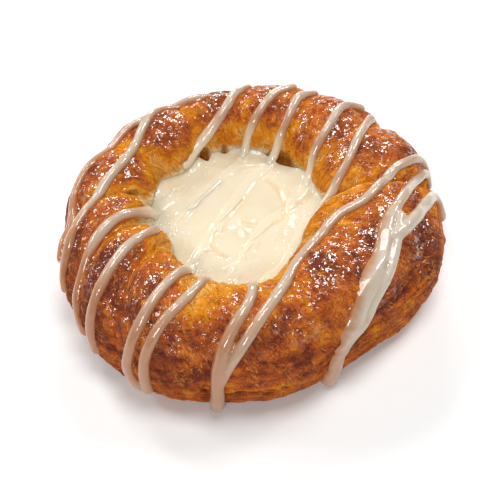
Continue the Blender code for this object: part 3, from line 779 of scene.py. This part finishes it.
class Nodes:
    """Adds shader nodes to a material and joins them."""

    def __init__(self, name, color, roughness):
        self.material = bpy.data.materials.new(name)
        self.material.use_nodes = True
        self.material.diffuse_color = (*color, 1)
        self.tree = self.material.node_tree
        self.shader = self.tree.nodes["Principled BSDF"]
        self.shader.inputs["Base Color"].default_value = (*color, 1)
        self.shader.inputs["Roughness"].default_value = roughness

    def add(self, kind, settings=None, **inputs):
        """One node, with its settings and its inputs, each a value or another node's socket."""
        node = self.tree.nodes.new(kind)
        for key, value in (settings or {}).items():
            setattr(node, key, value)
        for key, value in inputs.items():
            self.put(node.inputs[key.replace("_", " ")], value)
        return node

    def put(self, socket, value):
        """Sets a socket to a value, or links another node's output to it."""
        if isinstance(value, bpy.types.NodeSocket):
            self.tree.links.new(value, socket)
        else:
            socket.default_value = value

    def shade(self, **inputs):
        """Sets or links inputs of the Principled shader."""
        for key, value in inputs.items():
            self.put(self.shader.inputs[key.replace("_", " ")], value)

    def read(self, name, output="Fac"):
        """A value kept on the mesh."""
        return self.add("ShaderNodeAttribute", {"attribute_name": name}).outputs[output]

    def place(self):
        """Object coordinates."""
        return self.add("ShaderNodeTexCoord").outputs["Object"]

    def clouds(self, where, per_metre, detail=3.0, roughness=0.55):
        """Noise with that many cells to the metre."""
        node = self.add("ShaderNodeTexNoise", Vector=where, Scale=per_metre, Detail=detail,
                        Roughness=roughness)
        return node.outputs["Fac"]

    def maths(self, operation, first, second=0.0, third=0.0, clamp=False):
        """One Math node."""
        node = self.add("ShaderNodeMath", {"operation": operation, "use_clamp": clamp})
        self.put(node.inputs[0], first)
        self.put(node.inputs[1], second)
        self.put(node.inputs[2], third)
        return node.outputs[0]

    def vector_maths(self, operation, first, second, output="Vector"):
        """One Vector Math node."""
        node = self.add("ShaderNodeVectorMath", {"operation": operation})
        self.put(node.inputs[0], first)
        self.put(node.inputs[1], second)
        return node.outputs[output]

    def facets(self, where, per_metre, slope):
        """Height in metres of a crumpled skin: small flat facets, each tilted its own way."""
        wander = self.add("ShaderNodeTexNoise", Vector=where, Scale=per_metre, Detail=1.0).outputs["Color"]
        wander = self.vector_maths("SUBTRACT", wander, (0.5, 0.5, 0.5))
        wander = self.vector_maths("MULTIPLY", wander, (1 / per_metre,) * 3)
        moved = self.vector_maths("ADD", where, wander)
        cells = self.add("ShaderNodeTexVoronoi", Vector=moved, Scale=per_metre)
        from_middle = self.vector_maths("SUBTRACT", moved, cells.outputs["Position"])
        tilt = self.vector_maths("SUBTRACT", cells.outputs["Color"], (0.5, 0.5, 0.5))
        tilt = self.vector_maths("MULTIPLY", tilt, (slope,) * 3)
        return self.vector_maths("DOT_PRODUCT", tilt, from_middle, "Value")

    def veins(self, where, per_metre, width):
        """Thin wandering lines, 1 on a line and 0 between them, with that many cells to the metre."""
        field = self.add("ShaderNodeTexNoise", Vector=where, Scale=per_metre, Detail=2.0,
                         Roughness=0.6, Distortion=0.6).outputs["Fac"]
        away = self.maths("ABSOLUTE", self.maths("SUBTRACT", field, 0.5))
        return self.maths("SUBTRACT", 1.0, self.steep(away, 0.0, width))

    def centred(self, value, size):
        """A value of 0 to 1 turned into minus to plus half the size."""
        return self.maths("MULTIPLY_ADD", value, size, -size / 2)

    def steep(self, value, low, high):
        """0 below low, 1 above high and a smooth rise between."""
        node = self.add("ShaderNodeMapRange", {"interpolation_type": "SMOOTHSTEP"}, Value=value,
                        From_Min=low, From_Max=high)
        return node.outputs["Result"]

    def ramp(self, factor, stops):
        """A colour ramp through (place, colour) stops."""
        node = self.add("ShaderNodeValToRGB", Fac=factor)
        elements = node.color_ramp.elements
        while len(elements) < len(stops):
            elements.new(0.5)
        for element, (place, color) in zip(elements, stops):
            element.position = place
            element.color = (*color, 1)
        return node.outputs["Color"]

    def mix(self, factor, first, second):
        """Two colours mixed."""
        node = self.add("ShaderNodeMix", {"data_type": "RGBA"})
        self.put(node.inputs[0], factor)
        for index, color in ((6, first), (7, second)):
            self.put(node.inputs[index], color if isinstance(color, bpy.types.NodeSocket) else (*color, 1))
        return node.outputs[2]

    def bump(self, height, distance, normal=None):
        """A bump of that many metres, over another one where its normal is given."""
        node = self.add("ShaderNodeBump", Height=height, Distance=distance, Strength=1.0)
        if normal is not None:
            self.put(node.inputs["Normal"], normal)
        return node.outputs["Normal"]


def crust_material(settings):
    """Baked, glazed crust: mottled from golden to dark brown, with a wrinkled glossy glaze, and painted shade
    in its holes, gaps and recesses.
    """
    make = Nodes("baked_crust_finish", settings.brown, 0.6)
    place = make.place()
    grain = make.read("grain", "Vector")
    stretched = make.add("ShaderNodeMapping", Vector=grain, Scale=(1.0, 1.0, 0.30)).outputs[0]
    blotches = make.clouds(place, 230, 3, 0.55)
    pits = make.clouds(place, 1150, 2.0)
    streaks = make.clouds(stretched, 700, 2.0)
    veins = make.veins(place, 380, 0.025)
    fibres = make.veins(stretched, 460, 0.03)
    cracks = make.veins(make.vector_maths("ADD", place, (0.3, 0.1, 0.2)), 330, 0.022)
    flaky = make.steep(make.clouds(place, 150, 2.0), 0.38, 0.62)
    bake = make.read("bake")
    shade = make.maths("ADD", bake, make.centred(blotches, 0.70))
    shade = make.maths("ADD", shade, make.centred(make.steep(pits, 0.35, 0.65), 0.10))
    shade = make.maths("ADD", shade, make.centred(make.steep(streaks, 0.35, 0.65), 0.12))
    shade = make.maths("ADD", shade, 0.02)
    shade = make.maths("MAXIMUM", shade, make.maths("SUBTRACT", bake, 0.12), clamp=True)
    color = make.ramp(shade, ((0.0, settings.pale), (0.22, settings.golden), (0.60, settings.brown),
                              (0.95, settings.dark)))
    threads = make.maths("MAXIMUM", veins, fibres)
    threads = make.maths("MULTIPLY", threads, make.maths("MULTIPLY_ADD", flaky, 0.65, third=0.10))
    color = make.mix(threads, color, settings.thread)
    crazed = make.maths("MULTIPLY_ADD", make.steep(shade, 0.25, 0.55), 0.45, third=0.05)
    color = make.mix(make.maths("MULTIPLY", cracks, crazed), color, settings.dark)
    color = make.mix(make.read("smear"), color, settings.cream)
    # painted shade inside the holes and the gaps at the rim
    color = make.mix(make.read("hollow"), color, settings.cavity_shade)
    skin = make.bump(make.facets(place, 640, 0.60), 1.0)
    skin = make.bump(make.clouds(place, 900, 1.0, 0.5), 0.00007, skin)
    normal = make.bump(make.clouds(place, 480, 2.0, 0.5), 0.0004)
    normal = make.bump(veins, 0.00012, normal)
    normal = make.bump(fibres, 0.00012, normal)
    normal = make.bump(cracks, -0.00015, normal)
    wetter = make.maths("MULTIPLY_ADD", make.steep(shade, 0.25, 0.50), 0.8, third=0.2)
    wet = make.maths("MULTIPLY", make.steep(make.clouds(place, 540, 1.0), 0.45, 0.51), wetter)
    glaze = make.maths("MULTIPLY", make.maths("MULTIPLY", make.read("glaze"), wet), settings.glaze)
    make.shade(Base_Color=color, Normal=normal, Coat_Normal=skin, Coat_Weight=glaze,
               Coat_Roughness=settings.glaze_roughness, Coat_IOR=2.1, Roughness=0.6,
               Specular_IOR_Level=0.03, Subsurface_Weight=0.06, Subsurface_Scale=0.001,
               Subsurface_Radius=(1.0, 0.45, 0.2))
    return make.material


def cream_material(settings):
    """Pale glossy cream cheese, with painted shade making it a little deeper in its hollows and creases, and
    painted glints on its small bubbles.
    """
    make = Nodes("cream_cheese_finish", settings.cream, 0.45)
    place = make.place()
    # random tone, plus painted shade in the hollows and creases
    tint = make.maths("ADD", make.centred(make.clouds(place, 160, 3), 0.5), make.read("hollow"), clamp=True)
    color = make.mix(tint, settings.cream, settings.deep)
    normal = make.bump(make.clouds(place, 260, 1.5), 0.0003)
    # small bubbles, bumped and painted with white glints
    bubbles_and_glints = make.add("ShaderNodeTexVoronoi", Vector=place, Scale=700.0).outputs["Distance"]
    bubbles_and_glints = make.maths("MULTIPLY", make.maths("SUBTRACT", 1.0, make.steep(bubbles_and_glints, 0.10, 0.28)),
                         make.read("froth"))
    color = make.mix(bubbles_and_glints, color, settings.bubble_glint)
    normal = make.bump(bubbles_and_glints, 0.00014, normal)
    make.shade(Base_Color=color, Normal=normal, Coat_Normal=normal, Coat_Weight=0.60,
               Coat_Roughness=0.08, Specular_IOR_Level=0.2,
               Subsurface_Weight=0.6, Subsurface_Scale=0.004,
               Subsurface_Radius=(1.0, 0.75, 0.45))
    return make.material


def icing_material(settings):
    """Set sugar icing: warm white where it is thick, tan where the crust shows through, and darker low on the
    belly as painted shade.
    """
    make = Nodes("icing_finish", settings.thick, 0.3)
    place = make.place()
    body = make.maths("ADD", make.read("depth"), make.centred(make.clouds(place, 220, 3), 0.16), clamp=True)
    color = make.ramp(body, ((0.0, settings.thin), (0.42, settings.film), (0.85, settings.thick),
                             (1.0, settings.white)))
    color = make.mix(make.read("on_cream"), color, settings.cream)
    normal = make.bump(make.clouds(place, 240, 2), 0.0003)
    make.shade(Base_Color=color, Normal=normal, Coat_Normal=normal, Coat_Weight=0.95,
               Coat_Roughness=0.085, Specular_IOR_Level=0.30, Subsurface_Weight=0.4,
               Subsurface_Scale=0.002, Subsurface_Radius=(1.0, 0.6, 0.4))
    return make.material


def route_point(theta, v):
    """The point of the bare danish at one waypoint of the icing."""
    surface = filling_surface if v < 0 else pastry_surface
    return Vector(surface(np.array([float(theta)]), np.array([float(v)]))[0] + CENTRING)


def curved_path(points, step):
    """Evenly spaced points on a smooth curve through the given points."""
    ends = [points[0] * 2 - points[1]] + points + [points[-1] * 2 - points[-2]]
    fine = []
    for i in range(1, len(ends) - 2):
        a, b, c, d = ends[i - 1], ends[i], ends[i + 1], ends[i + 2]
        for k in range(20):
            t = k / 20
            fine.append(0.5 * (2 * b + (c - a) * t + (2 * a - 5 * b + 4 * c - d) * t ** 2
                               + (3 * b - a - 3 * c + d) * t ** 3))
    fine.append(points[-1])
    lengths = np.cumsum([0.0] + [(q - p).length for p, q in zip(fine, fine[1:])])
    count = max(2, round(lengths[-1] / step))
    marks = np.linspace(0, lengths[-1], count + 1)
    columns = [np.interp(marks, lengths, [point[axis] for point in fine]) for axis in range(3)]
    return [Vector(place) for place in zip(*columns)]


def in_well(points):
    """How far points lie inside the well's rim in plan, in metres, below 0 outside it."""
    plan = np.atleast_2d(points)[:, :2] - CENTRING[:2] - WELL_SHIFT
    turn = np.degrees(np.arctan2(plan[:, 1], plan[:, 0]))
    return well_radius(turn) - np.hypot(plan[:, 0], plan[:, 1])


def ridge_points():
    """Points along the icing's routes where they cross the filling."""
    found = []
    for waypoints, thickness in ICING_ROUTES.values():
        path = curved_path([route_point(*waypoint) for waypoint in waypoints], RIDGE_STEP)
        inside = in_well(np.array(path))
        found += [point for point, depth in zip(path, inside) if depth > -1 * MM and point.z < 24 * MM]
    return found


def distance_to(plan, lines):
    """Distance in plan from each point to the nearest of some lines, whose points are in mm."""
    nearest = np.full(len(plan), 1.0)
    for line in lines:
        for start, end in zip(line, line[1:]):
            a = np.array(start) * MM
            run = np.array(end) * MM - a
            share = np.clip((plan - a) @ run / (run @ run), 0, 1)
            nearest = np.minimum(nearest, np.linalg.norm(plan - a - share[:, None] * run, axis=1))
    return nearest


def height_over(point, tree):
    """Height of a point above a surface, below 0 under it."""
    place, normal, index, distance = tree.find_nearest(point)
    return (point - place).dot(normal)


def nearby(points, middles):
    """The body of the icing at each point: that of the nearest points on the strands' middles."""
    tree = kdtree.KDTree(len(middles))
    for index, (place, body) in enumerate(middles):
        tree.insert(place, index)
    tree.balance()
    found = []
    for point in points.tolist():
        near = [middles[index][1] for place, index, distance in tree.find_n(point, 5)]
        found.append(sum(near) / len(near))
    return np.array(found)


def strand_body(path, levels, least):
    """How whitish the icing is at each point of a strand's path: partly its thickness, partly painted shade
    that darkens its lower ends.
    """
    turns = np.degrees([math.atan2(point.y, point.x) for point in path])
    body = np.interp(levels, *zip(*ICING_BODY_AND_SHADE))
    for place, width, low, high, fade, loss in THIN_AND_SHADED_PATCHES:
        body *= 1 - loss * bell(turns, place, width) * window(levels, low, high, fade)
    # painted shade: even the thick strands turn less white towards their lower ends
    least = least * (1 - 0.35 * smooth_step((levels - 1.6) / 0.4))
    return np.maximum(body, least).tolist()


def strand_path(settings, waypoints, thickness, least, hang, crust, cream):
    """Points along a strand's middle, a little sunk in what it lies on, its radius and its body at each."""
    knots = [route_point(*waypoint) for waypoint in waypoints]
    path = curved_path(knots, STRAND_STEP)
    shares = np.linspace(0, 1, len(path))
    factors = np.interp(shares, *zip(*thickness))
    laps = np.cumsum([0.0] + [(b - a).length for a, b in zip(knots, knots[1:])])
    levels = np.interp(shares * laps[-1], laps, [v for theta, v in waypoints])
    body = strand_body(path, levels, least)
    sway = WANDER * (1 - least)
    laid = []
    radii = []
    for point, factor, share in zip(path, factors, shares):
        flat = 1 - 0.5 * float(smooth_step((factor - 1.5) / 0.6))
        wobble = 1 + sway * noise.noise(point / WANDER_CELL) * flat ** 2
        radius = settings.radius * factor * wobble
        rise = settings.rise * (1 + 0.35 * (factor - 1)) * flat + hang * float(smooth_step(share * 8 - 7))
        sunk = float(smooth_step((in_well(np.array(point))[0] + 1.5 * MM) / (3 * MM)))
        tree = cream if sunk > 0.5 else crust
        place, normal, index, distance = tree.find_nearest(point)
        laid.append(place + normal * (rise * (1 - 1.1 * sunk) - radius))
        radii.append(radius)
    for turn in range(SMOOTHING_ROUNDS):
        laid = [laid[0]] + [(a + 2 * b + c) / 4 for a, b, c in zip(laid, laid[1:], laid[2:])] + [laid[-1]]
    for place, radius in zip(laid, radii):
        place.z = max(place.z, radius)
    return laid, radii, body


def add_strand(form, name, path, radii):
    """Adds a tube along a path, with round ends, to a bmesh."""
    curve = bpy.data.curves.new(name, "CURVE")
    curve.dimensions = "3D"
    curve.bevel_depth = 1.0
    curve.bevel_resolution = 3
    curve.use_fill_caps = True
    steps = (0.35, 0.65, 0.87, 0.97)
    start = (path[0] - path[1]).normalized() * radii[0]
    end = (path[-1] - path[-2]).normalized() * radii[-1]
    heads = [path[0] + start * math.sqrt(1 - step ** 2) for step in steps]
    tails = [path[-1] + end * math.sqrt(1 - step ** 2) for step in reversed(steps)]
    points = heads + path + tails
    widths = [radii[0] * step for step in steps] + radii + [radii[-1] * step for step in reversed(steps)]
    spline = curve.splines.new("POLY")
    spline.points.add(len(points) - 1)
    for knot, place, width in zip(spline.points, points, widths):
        knot.co = (*place, 1.0)
        knot.radius = width
    tube = bpy.data.objects.new(name, curve)
    bpy.context.scene.collection.objects.link(tube)
    bpy.context.view_layer.update()
    mesh = bpy.data.meshes.new_from_object(tube.evaluated_get(bpy.context.evaluated_depsgraph_get()))
    form.from_mesh(mesh)
    bpy.data.objects.remove(tube)
    bpy.data.meshes.remove(mesh)


def melted(mesh, voxel):
    """One smooth skin round all the strands."""
    holder = bpy.data.objects.new("melting", mesh)
    bpy.context.scene.collection.objects.link(holder)
    skin = holder.modifiers.new("Skin", "REMESH")
    skin.mode = "VOXEL"
    skin.voxel_size = voxel
    soften = holder.modifiers.new("Soften", "SMOOTH")
    soften.factor = 0.5
    soften.iterations = 4
    bpy.context.view_layer.update()
    result = bpy.data.meshes.new_from_object(holder.evaluated_get(bpy.context.evaluated_depsgraph_get()))
    bpy.data.objects.remove(holder)
    result.name = "drizzled_icing"
    return result


class DANISH_OT_crust(Operator):
    """Model the baked crust with its folds, layers, wrinkles and blisters"""
    bl_idname = "danish.crust"
    bl_label = "Baked crust"

    def execute(self, context):
        settings = context.scene.danish_crust
        mesh, theta, v = blank_mesh("dressed_crust", PASTRY_AROUND, PASTRY_SPANS)
        base = pastry_surface(theta, v)
        grain = grain_space(theta, v, section_arc(v))
        normals = surface_normals(pastry_surface, theta, v)
        height, fine = crust_detail(settings, base, grain, theta, v)
        pits = holes(theta, v)
        height -= pits
        # where the crust is painted dark as shade: inside the gaps at the rim and the holes at the edge
        hollow = np.maximum(cavities(theta, v), 0.7 * np.clip(pits / (0.8 * MM), 0, 1))
        height -= GAP_DEPTH * cavities(theta, v) * (v < 1)
        height += gap_floor(theta, v) + LIP_HEIGHT * hole_lips(theta, v)
        points = base + normals * height[:, None] + CENTRING
        points[:, 2] = np.maximum(points[:, 2], 0)
        write_points(mesh, points)
        shade = bake_and_painted_shade(base, theta, v)
        shown = 0.35 + 0.65 * smooth_step((shade - 0.2) / 0.3)
        # paler on the raised layer edges, and painted shade in the recesses between them
        relief_tone_and_shade = np.clip(RELIEF_CONTRAST * fine / MM, -RELIEF_LIMIT, RELIEF_LIMIT) * shown
        store(mesh, "bake", shade - relief_tone_and_shade - LIP_PALING * hole_lips(theta, v))
        store(mesh, "glaze", glaze_share(base, theta, v) * (1 - hollow))
        store(mesh, "grain", grain)
        store(mesh, "hollow", hollow)
        store(mesh, "smear", cream_smear(base, theta, v) * (1 - np.minimum(2 * hollow, 1)))
        crust = show("dressed_crust", mesh, crust_material(settings))
        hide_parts("danish_pastry")
        return {"FINISHED"}


class DANISH_OT_filling(Operator):
    """Model the cream cheese with its swirl and the ridges of icing that cross it"""
    bl_idname = "danish.filling"
    bl_label = "Cream cheese filling"

    def execute(self, context):
        settings = context.scene.danish_filling
        mesh, theta, v = blank_mesh("swirled_filling", FILLING_AROUND, FILLING_SPANS)
        points = filling_surface(theta, v) + CENTRING
        routes = ridge_points()
        tree = kdtree.KDTree(len(routes))
        for index, point in enumerate(routes):
            tree.insert((point.x, point.y, 0), index)
        tree.balance()
        far = np.array([tree.find((x, y, 0))[2] for x, y, z in points.tolist()])
        share = np.clip(1 - (far / settings.ridge_width) ** 2, 0, 1)
        top = 1 - smooth_step(v / 0.15)
        soft = soft_noise(points, SOFT_CELL, 1)
        plan = (points - CENTRING)[:, :2] - WELL_SHIFT
        lines = np.exp(-(distance_to(plan, FILLING_RIDGES) / LINE_WIDTH) ** 2)
        creases = np.exp(-(distance_to(plan, FILLING_CREASES) / CREASE_WIDTH) ** 2)
        points[:, 2] += top * (settings.ridge * smooth_step(share) + settings.line * lines
                               - settings.line * creases + SOFT_HEIGHT * soft)
        write_points(mesh, points)
        # painted shade: the cream coloured deeper in its creases and low places
        store(mesh, "hollow", np.clip(0.15 - 0.5 * soft - 0.3 * share + 0.7 * creases, 0, 1) * top)
        rim = smooth_step(1.2 - in_well(points) / FROTH_REACH)
        # where the small bubbles lie near the rim; they carry painted glints
        store(mesh, "froth", rim * smooth_step((soft_noise(points, 5 * MM, 2) + 0.30) / 0.35))
        filling = show("swirled_filling", mesh, cream_material(settings))
        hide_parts("cheese_filling")
        return {"FINISHED"}


class DANISH_OT_icing(Operator):
    """Drizzle the icing over the crust and the filling, and melt its strands together"""
    bl_idname = "danish.icing"
    bl_label = "Icing"

    def execute(self, context):
        settings = context.scene.danish_icing
        depsgraph = context.evaluated_depsgraph_get()
        crust = BVHTree.FromObject(bpy.data.objects["dressed_crust"], depsgraph)
        cream = BVHTree.FromObject(bpy.data.objects["swirled_filling"], depsgraph)
        form = bmesh.new()
        middles = []
        for name, (waypoints, thickness) in (*ICING_ROUTES.items(), ("wide_edge", EDGE_ROUTE)):
            least = THICK_STRANDS.get(name, 0)
            hang = settings.drip if name in DRIPS else 0
            path, radii, body = strand_path(settings, waypoints, thickness, least, hang, crust, cream)
            add_strand(form, name, path, radii)
            middles += zip(path, body)
        mesh = bpy.data.meshes.new("drizzled_icing")
        form.to_mesh(mesh)
        form.free()
        mesh = melted(mesh, settings.voxel)
        points = read_points(mesh)
        depth = np.array([height_over(Vector(point), crust) for point in points.tolist()])
        # whiteness: height over the crust times the strands' body, which holds painted shade lower down
        store(mesh, "depth", smooth_step((depth + 0.2 * MM) / WHITE_HEIGHT) * nearby(points, middles))
        store(mesh, "on_cream", smooth_step((in_well(points) + CREAM_TINT_START) / CREAM_TINT_REACH))
        show("drizzled_icing", mesh, icing_material(settings))
        return {"FINISHED"}


class DANISH_OT_stage(Operator):
    """Set the floor, the soft lights and the camera"""
    bl_idname = "danish.stage"
    bl_label = "Stage"

    def execute(self, context):
        settings = context.scene.danish_stage
        self.lay_floor(settings)
        self.hang_lights(context, settings)
        self.aim_camera(context, settings)
        context.scene.view_settings.view_transform = "Standard"
        context.scene.view_settings.look = "None"
        return {"FINISHED"}

    def lay_floor(self, settings):
        """A pale matt floor."""
        form = bmesh.new()
        bmesh.ops.create_grid(form, x_segments=1, y_segments=1, size=FLOOR_HALF)
        mesh = bpy.data.meshes.new("floor")
        form.to_mesh(mesh)
        form.free()
        make = Nodes("floor_finish", settings.floor, 0.9)
        make.shade(Specular_IOR_Level=0.2)
        mesh.materials.append(make.material)
        floor = bpy.data.objects.new("floor", mesh)
        bpy.context.scene.collection.objects.link(floor)

    def hang_lights(self, context, settings):
        """An even sky and six soft round lights, each aimed at the danish."""
        world = bpy.data.worlds.new("studio")
        world.use_nodes = True
        sky = world.node_tree.nodes["Background"]
        sky.inputs["Color"].default_value = SKY_COLOUR
        sky.inputs["Strength"].default_value = settings.sky
        context.scene.world = world
        for name, power, size, place in LIGHTS:
            light = bpy.data.lights.new(name, "AREA")
            light.energy = getattr(settings, power)
            light.shape = "DISK"
            light.size = size
            lamp = bpy.data.objects.new(name, light)
            lamp.location = place
            lamp.rotation_euler = Vector(place).to_track_quat("Z", "Y").to_euler()
            context.scene.collection.objects.link(lamp)

    def aim_camera(self, context, settings):
        """The camera at the photograph's angle."""
        back = Vector((0, -math.cos(settings.elevation), math.sin(settings.elevation)))
        up = Vector((0, math.sin(settings.elevation), math.cos(settings.elevation)))
        target = Vector((0, 0, AIM_HEIGHT)) + Vector(CENTRING)
        target -= up * AIM_DOWN + Vector((AIM_LEFT, 0, 0))
        data = bpy.data.cameras.new("camera")
        data.sensor_width = SENSOR
        data.lens = LENS
        data.clip_start = 0.01
        camera = bpy.data.objects.new("camera", data)
        camera.location = target + back * settings.distance
        camera.rotation_euler = back.to_track_quat("Z", "Y").to_euler()
        context.scene.collection.objects.link(camera)
        context.scene.camera = camera


class DANISH_PT_panel(Panel):
    """Buttons that make the danish, in order"""
    bl_label = "Cheese danish"
    bl_idname = "DANISH_PT_panel"
    bl_space_type = "VIEW_3D"
    bl_region_type = "UI"
    bl_category = "Danish"

    def draw(self, context):
        for operator, group in STEPS:
            box = self.layout.box()
            box.operator(operator)
            settings = getattr(context.scene, group)
            for key in settings.__annotations__:
                box.prop(settings, key)


STEPS = (
    ("danish.crust", "danish_crust"),
    ("danish.filling", "danish_filling"),
    ("danish.icing", "danish_icing"),
    ("danish.stage", "danish_stage"),
)
GROUPS = {
    "danish_crust": DanishCrustSettings,
    "danish_filling": DanishFillingSettings,
    "danish_icing": DanishIcingSettings,
    "danish_stage": DanishStageSettings,
}
CLASSES = (
    *GROUPS.values(),
    DANISH_OT_crust,
    DANISH_OT_filling,
    DANISH_OT_icing,
    DANISH_OT_stage,
    DANISH_PT_panel,
)


def register():
    for item in CLASSES:
        bpy.utils.register_class(item)
    for name, group in GROUPS.items():
        setattr(bpy.types.Scene, name, PointerProperty(type=group))


def unregister():
    for name in GROUPS:
        delattr(bpy.types.Scene, name)
    for item in reversed(CLASSES):
        bpy.utils.unregister_class(item)


def main():
    register()
    bpy.ops.danish.crust()
    bpy.ops.danish.filling()
    bpy.ops.danish.icing()
    bpy.ops.danish.stage()


if __name__ == "__main__":
    main()
